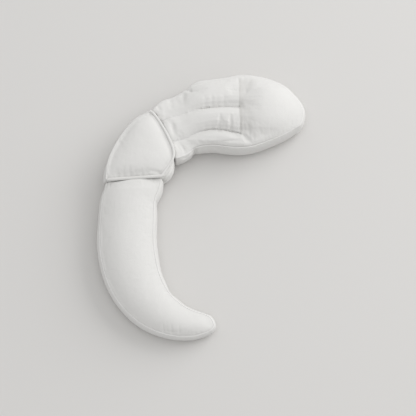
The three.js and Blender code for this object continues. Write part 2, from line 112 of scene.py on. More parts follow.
# Folds in the panels: where each starts and ends in plan, its depth there, and its half-width.
LOWER_ARM_FOLDS = (
    ((-0.172, -0.007), (-0.190, -0.012), 0.0012, 0, 0.009),
    ((-0.128, -0.437), (-0.131, -0.402), 0.002, 0, 0.005),
    ((-0.117, -0.437), (-0.119, -0.408), 0.001, 0, 0.004),
    ((-0.101, -0.440), (-0.104, -0.404), 0.002, 0, 0.005),
    ((-0.075, -0.441), (-0.077, -0.410), 0.0015, 0, 0.005),
    ((-0.112, -0.302), (-0.128, -0.312), 0.003, 0, 0.006),
)
KNEE_FOLDS = (
    ((-0.287, 0.084), (-0.285, 0.112), 0.0015, 0, 0.006),
    ((-0.266, 0.085), (-0.264, 0.120), 0.001, 0, 0.006),
    ((-0.243, 0.086), (-0.243, 0.116), 0.0022, 0, 0.006),
    ((-0.224, 0.087), (-0.226, 0.110), 0.0012, 0, 0.005),
    ((-0.203, 0.088), (-0.206, 0.114), 0.002, 0, 0.006),
    ((-0.148, 0.096), (-0.190, 0.108), 0.003, 0, 0.007),
    ((-0.285, 0.205), (-0.268, 0.190), 0.002, 0, 0.009),
)
UPPER_ARM_FOLDS = (
    # The V-shaped folds and smaller puckers above the inner channel's seam
    ((0.0565, 0.254), (0.061, 0.300), 0.0047, 0.0017, 0.0075),
    ((0.0965, 0.252), (0.097, 0.298), 0.0047, 0.0017, 0.0075),
    ((0.079, 0.254), (0.081, 0.278), 0.002, 0, 0.005),
    ((0.033, 0.256), (0.031, 0.276), 0.0015, 0, 0.006),
    ((0.012, 0.254), (0.009, 0.275), 0.0012, 0, 0.006),
    # Puckers above the outer channel's seam
    ((0.009, 0.331), (0.007, 0.366), 0.0015, 0, 0.006),
    ((0.033, 0.334), (0.032, 0.372), 0.0016, 0, 0.006),
    ((0.052, 0.336), (0.051, 0.364), 0.001, 0, 0.005),
    ((0.074, 0.337), (0.074, 0.374), 0.0016, 0, 0.006),
    # Gathers of the sleeve, from its outer edge inwards
    ((-0.155, 0.340), (-0.150, 0.325), 0.0015, 0, 0.008),
    ((-0.116, 0.371), (-0.114, 0.345), 0.0015, 0, 0.009),
    ((-0.064, 0.380), (-0.062, 0.335), 0.0025, 0.0005, 0.010),
    ((-0.062, 0.405), (-0.040, 0.394), 0.006, 0.001, 0.007),
    ((-0.128, 0.318), (-0.100, 0.310), 0.001, 0, 0.010),
    # The crease behind the sleeve's puffed end
    ((-0.102, 0.262), (-0.106, 0.290), 0.0008, 0, 0.010),
    ((-0.102, 0.262), (-0.094, 0.232), 0.0008, 0, 0.010),
    ((-0.086, 0.200), (-0.074, 0.178), 0.0014, 0.0005, 0.008),
    # A dimple of the head, and a hollow beside the channels' end that the filling lifts
    ((0.205, 0.418), (0.230, 0.398), 0.001, 0, 0.014),
    ((0.145, 0.294), (0.151, 0.258), -0.0028, -0.002, 0.010),
)

# Folds that run along a side wall: the middle of the stretch in plan, how far it reaches, its depth
# there, how much it climbs to the right, the height of each fold, its half-width and how far the wall
# bulges out under the seam.
KNEE_WALL_FOLDS = ((-0.118, 0.120), 0.032, 0.0035, 0.10, (0.094, 0.070, 0.045), 0.005, 0)
SLEEVE_WALL_FOLDS = ((-0.060, 0.165), 0.028, 0.0016, 0.08, (0.094, 0.087, 0.079, 0.069), 0.0028, 0.007)

# The knee's outer side: how far its seam lies outside the solid's, and the share of the wall's bulge
# that is left outside the seam, at distances along it from the lower arm
KNEE_SEAM_SHIFT = ((0, 0.003), (0.04, 0.0065), (0.235, 0.006), (0.285, 0))
KNEE_WALL_BULGE = (
    (0, 0.70), (0.024, 0.53), (0.063, 0.28), (0.104, 0.33), (0.18, 0.48), (0.235, 0.7), (0.285, 1),
)
KNEE_EASED = 0.06
# How far the knee's end leans over towards the lower arm, and over what length that fades out
KNEE_LEAN = 0.004
KNEE_LEAN_REACH = 0.035

# The joints that the cushions press against, in plan, and how far each keeps from them
JOINT_GAP = 0.0004
LOWER_JOINT = ((-0.3377, 0.0679), (-0.1357, 0.0828))
UPPER_JOINT = ((-0.1697, 0.3208), (-0.1177, 0.2368), (-0.0937, 0.1568))

# A top seam's depth and half-width. The knee's is negative, as its cloth swells under the piping.
SEAM_DEPTH = 0.0008
SEAM_HALF_WIDTH = 0.0022
KNEE_SEAM_DEPTH = -0.0018
KNEE_SEAM_HALF_WIDTH = 0.006
CHANNEL_DEPTH = 0.0035
CHANNEL_HALF_WIDTH = 0.0026

# Puckers: the distance from one to the next, and how far they reach from their seam
SEAM_PUCKERS = (0.013, 0.016)
CHANNEL_PUCKERS = (0.012, 0.014)
LOWER_ARM_SEED = 3
KNEE_SEED = 5
UPPER_ARM_SEED = 7
CHANNEL_OUTER_SEED = 11
CHANNEL_INNER_SEED = 13

# The slot that stays open between the lower arm and the knee: its middle and half-width as shares of
# the joint's length, and how much less the lower arm is pressed there
SLOT_MIDDLE = 0.30
SLOT_HALF_WIDTH = 0.16
SLOT_EASE = 0.4

# The sleeve's end: how far from the joint it is filled, from what height up, the least y at which it
# is, how it falls towards the joint, and the most that it is lifted
SLEEVE_FILLED = 0.018
SLEEVE_FILL_FLOOR = 0.085
SLEEVE_FILL_START = 0.17
SLEEVE_FALL = 0.15
SLEEVE_MOST_LIFT = 0.010

# The channels' far end: the length carried level up to the seam and its fall, the half-width of the
# seam itself, the length over which the head climbs, and the head's swell and where that is greatest
LEVEL_LENGTH = 0.026
LEVEL_FALL = 0.03
END_SEAM_HALF = 0.0008
END_SEAM_SPAN = (0.2, 0.45)
CLIMB_LENGTH = 0.032
HEAD_SWELL = 0.0055
HEAD_SWELL_PLACE = 0.08

# Heights and repeats of the cotton's relief: its threads, thicker threads, seams, welts and stitches
THREAD_RELIEF = 0.00004
SLUB_RELIEF = 0.00007
SEAM_RELIEF = 0.0006
WELT_RELIEF = 0.0006
STITCH_RELIEF = 0.0009
SLUB_LONG = 45
SLUB_ACROSS = 700
SOFT_REPEATS = 38
BROAD_REPEATS = 9

# The camera
CAMERA_TARGET = (0.0193, -0.0112, 0.060)
CAMERA_ELEVATION = math.radians(75)
CAMERA_DISTANCE = 5.032
CAMERA_LENS = 128.1
CAMERA_SENSOR = 36


def deselect_all():
    bpy.ops.object.select_all(action="DESELECT")


def make_active(piece):
    deselect_all()
    piece.select_set(True)
    bpy.context.view_layer.objects.active = piece


# Curves and distances


def rising(values, start, over):
    """0 up to the start, and from there up to 1 over a length."""
    return np.clip((values - start) / over, 0, 1)


def falling(values, end, over):
    """0 from the end on, and 1 a length before it."""
    return np.clip((end - values) / over, 0, 1)


def bell(values, middle, half_width):
    """1 at the middle, falling away on both sides."""
    return np.exp(-(((values - middle) / half_width) ** 2))


def in_plan(places):
    return places * (1, 1, 0)


def smoothed(heights, reach=4):
    """Evens out a row of heights, each with as many neighbours on both sides."""
    count = 2 * reach + 1
    return np.convolve(np.pad(heights, reach, mode="edge"), np.full(count, 1 / count), mode="valid")


def curve_through(points):
    """A smooth curve through points, as an array with a point about every SEAM_STEP metres."""
    known = np.array(points, float)
    known = np.vstack([2 * known[0] - known[1], known, 2 * known[-1] - known[-2]])
    drawn = []
    for a, b, c, d in zip(known, known[1:], known[2:], known[3:]):
        count = max(2, int(np.linalg.norm(c - b) / SEAM_STEP))
        t = np.linspace(0, 1, count, endpoint=False)[:, None]
        drawn.append(0.5 * (2 * b + (c - a) * t + (2 * a - 5 * b + 4 * c - d) * t**2
                            + (3 * b - a - 3 * c + d) * t**3))
    drawn.append(known[-2][None])
    return np.vstack(drawn)


def bowed_end(start, stop, bow):
    """The seam across a cushion's end, bowed by that many metres to the left of its run."""
    run = stop - start
    share = np.linspace(0, 1, int(np.linalg.norm(run) / SEAM_STEP) + 2)[:, None]
    left = np.array([-run[1], run[0], 0]) / np.hypot(run[0], run[1])
    return start + run * share + left * bow * np.sin(np.pi * share)


class SeamLine:
    """A seam drawn on a cushion, which tells how far points lie from it and how far along it."""

    def __init__(self, points):
        self.points = np.array(points, float)
        gaps = np.linalg.norm(np.diff(self.points, axis=0), axis=1)
        self.along = np.concatenate([[0], np.cumsum(gaps)])
        ahead = np.gradient(self.points[:, :2], axis=0)
        self.ahead = ahead / np.linalg.norm(ahead, axis=1)[:, None]
        self.tree = KDTree(len(self.points))
        for n, point in enumerate(self.points):
            self.tree.insert(point, n)
        self.tree.balance()

    def left_of(self, places):
        """The way to the seam's left, at the point of it nearest to each place."""
        ahead = self.ahead[[self.tree.find(place)[1] for place in places]]
        return np.column_stack([-ahead[:, 1], ahead[:, 0]])

    def measure(self, places):
        """The signed distance of each place from the seam, positive on its left, and its run along it."""
        nearest = np.array([self.tree.find(place)[1] for place in places])
        offset = places - self.points[nearest]
        forward = (offset[:, :2] * self.ahead[nearest]).sum(1)
        left = self.ahead[nearest][:, 0] * offset[:, 1] - self.ahead[nearest][:, 1] * offset[:, 0]
        side = np.sign(left)
        forward = np.clip(forward, -SEAM_STEP, SEAM_STEP)
        distance = np.sqrt(np.maximum((offset**2).sum(1) - forward**2, 0))
        return distance * side, self.along[nearest] + forward


def panel_seam(outer, inner, start_bow, end_bow, whole=True):
    """The seam round a cushion's top panel, or round all of it but its start, panel on its left."""
    first = curve_through(outer)
    back = curve_through(inner)[::-1]
    far = bowed_end(first[-1], back[0], end_bow)
    near = bowed_end(back[-1], first[0], start_bow)
    drawn = np.vstack([first[:-1], far[:-1], back[:-1], near if whole else back[-1:]])
    x, y = drawn[:, 0], drawn[:, 1]
    clockwise = (x * np.roll(y, -1) - y * np.roll(x, -1)).sum() < 0
    return SeamLine(drawn[::-1] if clockwise else drawn)


def shape_knee(places):
    """Moves the knee's outer seam out over its wall, draws the wall in and leans the end over."""
    curve = curve_through(KNEE_OUTER)
    side = SeamLine(in_plan(curve))
    out, run = side.measure(in_plan(places))
    shift = np.interp(run, *np.transpose(KNEE_SEAM_SHIFT))
    bulge = np.interp(run, *np.transpose(KNEE_WALL_BULGE))
    eased = np.clip(1 + out / KNEE_EASED, 0, 1)
    wanted = np.where(out < 0, out + shift * eased, shift + out * bulge)
    moved = np.array(places)
    moved[:, :2] += side.left_of(in_plan(places)) * (wanted - out)[:, None]
    past, away, _ = StraightJoint(*LOWER_JOINT).measure(moved)
    lean = KNEE_LEAN * np.clip(1 - (past - KNEE_LEAN) / KNEE_LEAN_REACH, 0, 1)
    moved[:, :2] -= away * lean[:, None]
    return moved


# Mesh helpers


def places_of(piece):
    places = np.empty(len(piece.data.vertices) * 3)
    piece.data.vertices.foreach_get("co", places)
    return places.reshape(-1, 3)


def set_places(piece, places):
    piece.data.vertices.foreach_set("co", places.ravel())
    piece.data.update()


def normals_of(piece):
    normals = np.empty(len(piece.data.vertices) * 3)
    piece.data.vertices.foreach_get("normal", normals)
    return normals.reshape(-1, 3)


def write_attribute(piece, name, values):
    attribute = piece.data.attributes.new(name, "FLOAT", "POINT")
    attribute.data.foreach_set("value", np.asarray(values, np.float32))


def copy_of_node(node, name):
    """A new piece with the solid's shape, its loose triangles merged into one closed mesh."""
    piece = bpy.data.objects.new(name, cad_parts[node].data.copy())
    bpy.context.scene.collection.objects.link(piece)
    piece.data.materials.clear()
    make_active(piece)
    bpy.ops.object.mode_set(mode="EDIT")
    bpy.ops.mesh.select_all(action="SELECT")
    bpy.ops.mesh.remove_doubles(threshold=1e-5)
    bpy.ops.object.mode_set(mode="OBJECT")
    sharp = piece.data.attributes.get("sharp_face")
    if sharp:
        piece.data.attributes.remove(sharp)
    return piece


def heights_at(places, xs, ys):
    """The height of the top of the cloth at each point of the plan."""
    top = np.flatnonzero(places[:, 2] > PANEL_FLOOR)
    tree = KDTree(len(top))
    for n in top:
        tree.insert((places[n, 0], places[n, 1], 0), int(n))
    tree.balance()
    return np.array([np.mean([places[n, 2] for _, n, _ in tree.find_n((x, y, 0), 4)])
                     for x, y in zip(xs, ys)])


def drop_onto(places, curve):
    """Gives each point of a plan curve the height of the cloth under it."""
    return np.column_stack([curve, smoothed(heights_at(places, *curve.T))])


class StraightJoint:
    """A straight joint between two cushions, with its far side on the left of its run."""

    def __init__(self, start, stop):
        self.start = np.array(start)
        run = np.array(stop) - self.start
        self.ahead = run / np.linalg.norm(run)
        self.away = np.array([-self.ahead[1], self.ahead[0]])
        self.length = np.linalg.norm(run)

    def measure(self, places):
        """How far each place lies past the joint, the way past it, and whether it lies beside it."""
        spread = places[:, :2] - self.start
        return spread @ self.away, np.tile(self.away, (len(places), 1)), self.share(places) > 0

    def share(self, places):
        """How far along the joint each place lies, as a share of its length."""
        return np.clip((places[:, :2] - self.start) @ self.ahead / self.length, 0, 1)

    def fits(self, places):
        """Which places lie beside the stretch in which both cushions meet."""
        share = self.share(places)
        return rising(np.minimum(share, 1 - share), 0, 0.04)


class ArcJoint:
    """A joint on a circle through three points, with its far side outside the circle."""

    def __init__(self, first, second, third):
        first, second, third = map(np.array, (first, second, third))
        rows = 2 * np.array([second - first, third - first])
        squares = [second @ second - first @ first, third @ third - first @ first]
        self.centre = np.linalg.solve(rows, squares)
        self.radius = np.linalg.norm(first - self.centre)
        self.foot = third[1]

    def measure(self, places):
        """How far each place lies past the joint, the way past it, and whether it lies beside it."""
        spokes = places[:, :2] - self.centre
        reach = np.linalg.norm(spokes, axis=1)
        return reach - self.radius, spokes / reach[:, None], spokes[:, 0] > 0

    def fits(self, places):
        """Which places lie beside the stretch in which both cushions meet."""
        return rising(places[:, 1], self.foot, 0.012)


class Keeper:
    """Keeps a cushion on its own side of its joints, and above the surface that it lies on.

    Each limit is a joint and the cushion's side of it: 1 for the far side and -1 for the near side.
    """

    def __init__(self, *limits):
        self.limits = limits

    def hold(self, places):
        """Moves back what has crossed a joint or the surface."""
        for joint, side in self.limits:
            past, away, beside = joint.measure(places)
            short = np.where(beside, np.maximum(JOINT_GAP - past * side, 0), 0)
            places[:, :2] += away * (side * short)[:, None]
        places[:, 2] = np.maximum(places[:, 2], 0)

    def press(self, places, normals, firmness=1.0):
        """Brings the cushion's ends up to its joints, as the ends of neighbours press together."""
        clear_of_floor = rising(places[:, 2], 0.012, 0.015)
        for joint, side in self.limits:
            past, away, beside = joint.measure(places)
            facing = rising(-side * (normals[:, :2] * away).sum(1), 0.2, 0.35)
            room = np.maximum(past * side - JOINT_GAP, 0)
            near = beside * falling(room, 0.026, 0.012) * joint.fits(places)
            push = side * room * near * facing * clear_of_floor * firmness
            places[:, :2] -= away * push[:, None]


# Padding


def remesh(piece, voxel):
    """Gives the shell even square faces, as fine as the cloth's folds need."""
    make_active(piece)
    piece.data.remesh_voxel_size = voxel
    piece.data.remesh_voxel_adaptivity = 0
    piece.data.use_remesh_fix_poles = False
    bpy.ops.object.voxel_remesh()


def relax_where(piece, chosen, rounds, factor=0.5):
    """Smooths the chosen points, as the smooth tool does by hand."""
    make_active(piece)
    piece.data.vertices.foreach_set("select", chosen)
    piece.data.edges.foreach_set("select", np.zeros(len(piece.data.edges), bool))
    piece.data.polygons.foreach_set("select", np.zeros(len(piece.data.polygons), bool))
    bpy.context.tool_settings.mesh_select_mode = (True, False, False)
    bpy.ops.object.mode_set(mode="EDIT")
    bpy.ops.mesh.vertices_smooth(factor=factor, repeat=rounds)
    bpy.ops.object.mode_set(mode="OBJECT")


def pad_out(piece, held, ease, settings):
    """Fills the shell: cloth under pressure, a little too big for its frame, sewn down where held."""
    before = places_of(piece)
    sewn = piece.vertex_groups.new(name="sewn")
    sewn.add([int(n) for n in np.flatnonzero(held)], 1.0, "REPLACE")
    make_active(piece)
    bpy.ops.object.modifier_add(type="CLOTH")
    cloth = piece.modifiers[-1]
    cloth.settings.quality = 5
    cloth.settings.use_pressure = True
    cloth.settings.uniform_pressure_force = settings.pressure
    cloth.settings.shrink_min = -ease
    cloth.settings.vertex_group_mass = sewn.name
    cloth.settings.effector_weights.gravity = 0
    cloth.collision_settings.use_collision = False
    cloth.point_cache.frame_start = 1
    cloth.point_cache.frame_end = settings.settle_frames
    for number in range(1, settings.settle_frames + 1):
        bpy.context.scene.frame_set(number)
    bpy.ops.object.modifier_apply(modifier=cloth.name)
    bpy.context.scene.frame_set(1)
    piece.vertex_groups.clear()
    moved = places_of(piece) - before
    reach = np.maximum(np.linalg.norm(moved, axis=1), 1e-9)
    places = before + moved * (np.minimum(reach, settings.swell_cap) / reach)[:, None]
    set_places(piece, places)


def subdivide_smoothly(piece):
    make_active(piece)
    bpy.ops.object.modifier_add(type="SUBSURF")
    smooth = piece.modifiers[-1]
    smooth.levels = smooth.render_levels = 1
    bpy.ops.object.modifier_apply(modifier=smooth.name)


def pucker_row(length, pitch, seed):
    """How strongly each millimetre of a seam draws in, from evenly but not equally spaced puckers."""
    chance = np.random.default_rng(seed)
    grid = np.arange(0, length + 0.001, 0.001)
    pull = np.zeros_like(grid)
    at = chance.uniform(0, pitch)
    while at < length:
        wide = pitch * chance.uniform(0.22, 0.34)
        pull += chance.uniform(0.35, 1.0) * bell(grid, at, wide)
        at += pitch * chance.uniform(0.65, 1.4)
    return grid, pull - pull.mean()


def pucker(places, normals, seam, depth, pitch, reach, seed, allowed=1.0):
    """Draws the cloth in along a seam, at puckers that fade out on both sides of it."""
    offset, run = seam.measure(places)
    grid, pull = pucker_row(seam.along[-1], pitch, seed)
    fade = np.exp(-np.abs(offset) / reach) * (1 - bell(offset, 0, 0.004))
    places -= normals * (depth * np.interp(run, grid, pull) * fade * allowed)[:, None]


def groove(places, normals, offset, depth, half_width):
    """A sewn seam: cloth drawn down to the thread, with a soft roll on each side."""
    valley = bell(offset, 0, half_width)
    rolls = bell(np.abs(offset), 2.4 * half_width, 1.3 * half_width)
    places -= normals * np.reshape(depth * (valley - 0.3 * rolls), (-1, 1))


def crease(places, normals, start, stop, depth, end_depth, width, allowed):
    """A fold from one place to another in plan, with the cloth heaped a little on each side of it."""
    start, stop = np.array(start), np.array(stop)
    run = stop - start
    share = np.clip(((places[:, :2] - start) @ run) / (run @ run), 0, 1)
    distance = np.linalg.norm(places[:, :2] - start - share[:, None] * run, axis=1)
    width = width * (1 - 0.45 * share)
    shape = bell(distance, 0, width) - 0.2 * bell(distance, 0, 2.4 * width)
    deep = depth + (end_depth - depth) * share
    places -= normals * (deep * shape * allowed)[:, None]


def wall_folds(places, normals, middle, reach, depth, climb, heights, half_width, bulge):
    """Folds along a stretch of a side wall, where the cushion bends and its cloth is pushed up."""
    spread = places[:, :2] - np.array(middle)
    upright = np.clip((1 - abs(normals[:, 2])) * 2, 0, 1)
    near = bell((spread**2).sum(1), 0, reach**2) * upright
    swollen = bulge * near * bell(places[:, 2], 0.083, 0.013)
    height_now = np.array(places[:, 2])
    places += normals * swollen[:, None]
    for height in heights:
        across = (height_now - height - climb * spread[:, 0]) / half_width
        places -= normals * (depth * near * (np.exp(-(across**2)) - 0.3))[:, None]


# Materials


class Wire:
    """A shader socket on which sums can be written."""

    def __init__(self, shader, socket):
        self.shader = shader
        self.socket = socket

    def _sum(self, operation, *values):
        return self.shader.node("ShaderNodeMath", {"operation": operation}, dict(enumerate(values)))

    def __add__(self, other):
        return self._sum("ADD", self, other)

    def __sub__(self, other):
        return self._sum("SUBTRACT", self, other)

    def __mul__(self, other):
        return self._sum("MULTIPLY", self, other)

    def __truediv__(self, other):
        return self._sum("DIVIDE", self, other)

    def __rtruediv__(self, other):
        return self._sum("DIVIDE", other, self)

    def cosine(self):
        return self._sum("COSINE", self)

    def clamped(self):
        return self.shader.node("ShaderNodeClamp", {}, {"Value": self})

    __radd__ = __add__


class Shader:
    """One material's nodes."""

    def __init__(self, name):
        self.material = bpy.data.materials.new(name)
        self.material.use_nodes = True
        self.tree = self.material.node_tree
        self.surface = self.tree.nodes["Principled BSDF"]

    def node(self, kind, settings=None, inputs=None, output=0):
        """Adds a node, sets it up, fills or links its sockets and gives back one output."""
        made = self.tree.nodes.new(kind)
        for name, value in (settings or {}).items():
            setattr(made, name, value)
        for name, value in (inputs or {}).items():
            if isinstance(value, Wire):
                self.tree.links.new(value.socket, made.inputs[name])
            else:
                made.inputs[name].default_value = value
        return Wire(self, made.outputs[output])

    def attribute(self, name):
        return self.node("ShaderNodeAttribute", {"attribute_name": name}, output="Fac")

    def parts_of(self, vector):
        return [self.node("ShaderNodeSeparateXYZ", {}, {0: vector}, axis) for axis in "XYZ"]

    def noise(self, vector, stretch, detail=2.0, roughness=0.5):
        """Noise between about -1 and 1, with stretch repeats to the metre on each axis."""
        scaled = self.node("ShaderNodeMapping", {}, {"Vector": vector, "Scale": stretch})
        value = self.node("ShaderNodeTexNoise", {}, {
            "Vector": scaled, "Scale": 1.0, "Detail": detail, "Roughness": roughness})
        return (value - 0.5) * 2

    def mix(self, share, first, second):
        return self.node("ShaderNodeMix", {"data_type": "RGBA"}, {
            0: share, 6: first, 7: second}, 2)

    def feed(self, socket, value):
        if isinstance(value, Wire):
            self.tree.links.new(value.socket, self.surface.inputs[socket])
        else:
            self.surface.inputs[socket].default_value = value


def line(offset, half_width):
    """1 on a line and falling away from it, from the distance to the line."""
    across = offset / half_width
    return 1 / (1 + across * across * across * across)


def woven_cotton(name, settings, colour, crumple=0.0006, seams=(), painted_shade_beside_seam=None):
    """Plain-woven cotton: threads over and under, thicker ones here and there, and soft crumpling.

    Each of seams names the stored distance from a seam and, where its stitches show, the stored run,
    and gives the painted shade in the seam's line or the name under which that is stored; a seam
    without stitches also gets a painted highlight on the welt beside it. The stored painted shade
    beside a seam is where the cloth is painted greyer, as shade down beside that seam.
    """
    shader = Shader(name)
    place = shader.node("ShaderNodeTexCoord", output="Object")
    facing = shader.parts_of(shader.node("ShaderNodeTexCoord", output="Normal"))
    nx, ny, nz = [part * part for part in facing]
    turn = 2 * math.pi / settings.thread_pitch
    cx, cy, cz = [(part * turn).cosine() for part in shader.parts_of(place)]
    weave = cx * cy * nz + cy * cz * nx + cx * cz * ny
    along_x = shader.noise(place, (SLUB_LONG, SLUB_ACROSS, SLUB_ACROSS), 1.0)
    along_y = shader.noise(place, (SLUB_ACROSS, SLUB_LONG, SLUB_ACROSS), 1.0)
    slubs = along_x + along_y
    soft = shader.noise(place, (SOFT_REPEATS,) * 3, 3.0, 0.55)
    broad = shader.noise(place, (BROAD_REPEATS,) * 3, 2.0)
    height = weave * THREAD_RELIEF + slubs * SLUB_RELIEF + soft * crumple + broad * (crumple * 1.5)
    # Share of the shade colour: the cotton's own random tone here, with painted shade and painted
    # highlight added below
    dark = slubs * 0.02 + soft * 0.02 + 0.25
    for offset_name, run_name, depth in seams:
        offset = shader.attribute(offset_name)
        fold = line(offset, 0.0010)
        strength, relief = depth, SEAM_RELIEF
        if isinstance(depth, str):
            strength = shader.attribute(depth)
            relief = (strength * 2).clamped() * SEAM_RELIEF
        height = height - fold * relief
        # Painted shade down in the seam's line
        dark = dark + fold * strength
        if not run_name:
            welt = line(offset + 0.0030, 0.0018)
            height = height + welt * WELT_RELIEF
            # Painted highlight on the welt beside the seam
            dark = dark - welt * 0.15
        else:
            stitch = (shader.attribute(run_name) * (2 * math.pi / settings.stitch_length)).cosine()
            thread = line(offset, 0.0006) * (stitch * 2 + 0.6).clamped()
            height = height + thread * STITCH_RELIEF
            dark = dark - thread * 0.5
    # Painted shade beside a seam
    if painted_shade_beside_seam:
        dark = dark + shader.attribute(painted_shade_beside_seam)
    tint = shader.mix(dark.clamped(), (*colour, 1), (*settings.shade_colour, 1))
    shader.feed("Base Color", tint)
    shader.feed("Roughness", (soft * 0.04 + slubs * 0.03 + settings.roughness).clamped())
    shader.feed("Sheen Weight", 0.25)
    shader.feed("Sheen Roughness", 0.45)
    shader.feed("Specular IOR Level", 0.25)
    bump = shader.node("ShaderNodeBump", {}, {"Strength": 1.0, "Distance": 1.0, "Height": height})
    shader.feed("Normal", bump)
    return shader.material


def finish_piece(piece, node, material):
    """Shades a piece smoothly and tells the frame what it is."""
    piece.data.materials.append(material)
    make_active(piece)
    bpy.ops.object.shade_smooth()
    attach(piece, BODY)
    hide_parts(node)


# Settings


def colour_setting(name, description, default):
    return bpy.props.FloatVectorProperty(
        name=name, description=description, subtype="COLOR", size=3, min=0, max=1, default=default)


def length_setting(name, description, least, most, default):
    return bpy.props.FloatProperty(
        name=name, description=description, unit="LENGTH", min=least, max=most, default=default)


class PillowClothSettings(bpy.types.PropertyGroup):
    """Sizes and colours of the cotton and its filling."""

    cotton_colour: colour_setting("Cotton", "Colour of the cushions", (0.78, 0.775, 0.76))
    piping_colour: colour_setting("Piping", "Colour of the piping", (0.76, 0.755, 0.74))
    # The cotton is mixed towards the shade colour a little everywhere for its random tone, and more as
    # painted shade in and beside its seams
    shade_colour: colour_setting(
        "Shade", "Colour of the cotton deep in a seam", (0.52, 0.51, 0.49))
    roughness: bpy.props.FloatProperty(
        name="Roughness", description="Roughness of the cotton", min=0, max=1, default=0.9)
    thread_pitch: length_setting(
        "Thread pitch", "Distance over two threads of the weave", 0.0003, 0.005, 0.0009)
    stitch_length: length_setting(
        "Stitch length", "Distance from one stitch to the next", 0.001, 0.01, 0.0034)
    voxel: length_setting(
        "Cloth grid", "Side of the squares in which the cloth is worked", 0.002, 0.01, 0.0046)
    tuck: length_setting(
        "Tuck", "How far the cloth starts inside its filled shape", 0, 0.01, 0.002)
    pressure: bpy.props.FloatProperty(
        name="Filling pressure", description="Pressure of the filling on the cloth",
        min=0, max=20, default=4)
    smooth_ease: bpy.props.FloatProperty(
        name="Ease", description="Share by which the smooth cushions' cloth is cut too large",
        subtype="FACTOR", min=0, max=0.2, default=0.002)
    gathered_ease: bpy.props.FloatProperty(
        name="Gathered ease", description="The same for the upper arm, whose cloth gathers",
        subtype="FACTOR", min=0, max=0.2, default=0.004)
    pucker_depth: length_setting(
        "Pucker depth", "Depth of the small puckers along a seam", 0, 0.01, 0.0012)
    cord_stretch: length_setting(
        "Cord stretch", "How much the cotton adds to the piping's radius", 0, 0.004, 0.002)
    cord_lift: length_setting(
        "Cord lift", "How far the piping is pushed up between the cushions", 0, 0.004, 0.0022)
    cord_press: length_setting(
        "Cord press", "How far the piping is pushed out towards the upper arm", 0, 0.004, 0.0014)
    swell_cap: length_setting(
        "Swell limit", "The furthest that the filling may push the cloth", 0, 0.03, 0.006)
    settle_frames: bpy.props.IntProperty(
        name="Settling", description="Steps in which the filling settles", min=2, max=60, default=20)


class PillowStageSettings(bpy.types.PropertyGroup):
    """The floor and the lights of the studio."""

    floor_colour: colour_setting("Floor", "Colour of the floor", (0.665, 0.655, 0.64))
    floor_size: length_setting("Floor size", "Side of the floor", 2, 50, 14)
    light_distance: length_setting(
        "Light distance", "Distance of both lights from the pillow", 1, 20, 8)
    key_power: bpy.props.FloatProperty(
        name="Key light", description="Power of the main light",
        unit="POWER", min=0, max=5000, default=385)
    key_size: length_setting("Key size", "Side of the main light", 0.1, 12, 7)
    key_turn: bpy.props.FloatProperty(
        name="Key turn", description="Direction of the main light, from +X towards +Y",
        subtype="ANGLE", default=math.radians(35))
    key_lift: bpy.props.FloatProperty(
        name="Key lift", description="Height of the main light above the floor, as an angle",
        subtype="ANGLE", default=math.radians(30))
    top_power: bpy.props.FloatProperty(
        name="Top light", description="Power of the light above the pillow",
        unit="POWER", min=0, max=5000, default=96)
    top_size: length_setting(
        "Top size", "Side of the light above the pillow", 0.1, 12, 6)
    sky: bpy.props.FloatProperty(
        name="Sky", description="Strength of the light from all round", min=0, max=5, default=0.635)


# Pieces


def padded_shell(node, name, settings, seam, ease, reshape=None):
    """A cushion's cloth, from the copied solid to the filled and smoothed shape.

    It is sewn down beside its seam and where it lies on the surface.
    """
    piece = copy_of_node(node, name)
    if reshape:
        set_places(piece, reshape(places_of(piece)))
    remesh(piece, settings.voxel)
    offset = abs(seam.measure(places_of(piece))[0])
    relax_where(piece, offset < 0.009, 5)
    places = places_of(piece)
    loose = 1 - bell(offset, 0, 0.008)
    tucked = places - normals_of(piece) * (settings.tuck * loose)[:, None]
    tucked[places[:, 2] < 0.004, 2] = 0
    set_places(piece, tucked)
    pad_out(piece, (offset < 0.004) | (tucked[:, 2] < 0.003), ease, settings)
    subdivide_smoothly(piece)
    return piece


def sew_cushion(piece, seam, folds, depth, half_width, gathers, seed, wall=None):
    """Sews the seams that a remesh can't keep, with the puckers and folds that they make."""
    places, normals = places_of(piece), normals_of(piece)
    offset, _ = seam.measure(places)
    on_top = rising(places[:, 2], 0.05, 0.02) * rising(offset, 0, 0.004)
    for start, stop, deep, end_deep, wide in folds:
        crease(places, normals, start, stop, deep, end_deep, wide, on_top)
    if wall:
        wall_folds(places, normals, *wall)
    pucker(places, normals, seam, gathers, *SEAM_PUCKERS, seed)
    on_band = np.clip(1 - abs(normals[:, 2]), 0, 1)
    hem = np.where(on_band > 0.3, places[:, 2] - HEM_HEIGHT, 1)
    groove(places, normals, hem, HEM_DEPTH, HEM_HALF_WIDTH)
    groove(places, normals, offset, depth, half_width)
    set_places(piece, places)
    line_offset = np.where(abs(hem) < abs(offset), hem, offset)
    write_attribute(piece, "seam_offset", line_offset)
    return on_top, offset


def fit_in(piece, keeper, firmness=1.0):
    """Presses a cushion's ends against its neighbours and keeps it out of them."""
    for _ in range(2):
        places = places_of(piece)
        keeper.press(places, normals_of(piece), firmness)
        keeper.hold(places)
        set_places(piece, places)


